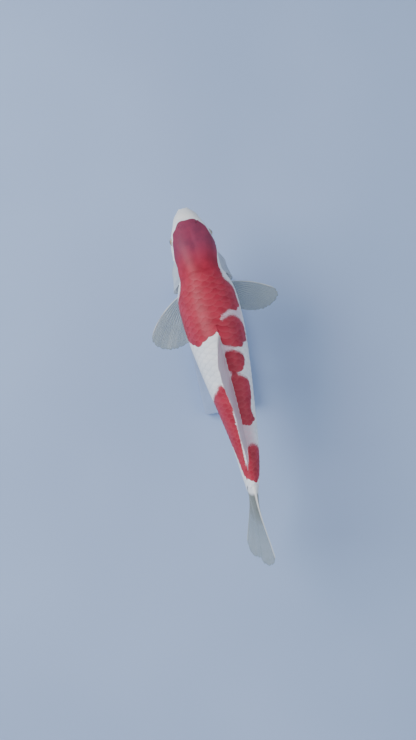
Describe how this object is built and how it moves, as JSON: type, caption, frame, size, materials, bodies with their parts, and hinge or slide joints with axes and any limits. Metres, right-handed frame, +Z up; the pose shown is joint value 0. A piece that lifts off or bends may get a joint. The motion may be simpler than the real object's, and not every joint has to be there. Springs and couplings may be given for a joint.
{
  "type": "koi carp",
  "caption": "Life-size red and white koi carp in a gently curved swimming pose with spread pectoral fins, held level by two short rods on a plain flat stand.",
  "frame": {"origin": "centre of the stand base's underside, on the shelf", "axes": "+Z up, head towards -Y, tail towards +Y, the fish's left side towards +X"},
  "size_m": [0.122, 0.3196, 0.1547],
  "materials": {
    "skin_red": "wet, satin, scaled",
    "skin_white": "wet, satin, scaled",
    "fin_web": "thin rayed web, part translucent",
    "eye_glass": "glossy, dark pupil in a pale iris",
    "stand_paint": "pale grey matt paint on wood",
    "stand_steel": "satin"
  },
  "bodies": {
    "root": {"head": "skin_red", "trunk_front": "skin_red", "tail_stalk": "skin_red", "lower_jaw": "skin_white", "gill_cover_left": "skin_white", "gill_cover_right": "skin_white", "trunk_rear": "skin_white", "barbel_lip_left": "skin_white", "barbel_lip_right": "skin_white", "barbel_corner_left": "skin_white", "barbel_corner_right": "skin_white", "pectoral_fin_left": "fin_web", "pectoral_fin_right": "fin_web", "pelvic_fin_left": "fin_web", "pelvic_fin_right": "fin_web", "dorsal_fin": "fin_web", "anal_fin": "fin_web", "tail_fin_upper": "fin_web", "tail_fin_lower": "fin_web", "eye_left": "eye_glass", "eye_right": "eye_glass", "stand_base": "stand_paint", "stand_rod_front": "stand_steel", "stand_rod_rear": "stand_steel", "stand_collar_front": "stand_steel", "stand_collar_rear": "stand_steel"}
  },
  "joints": []
}
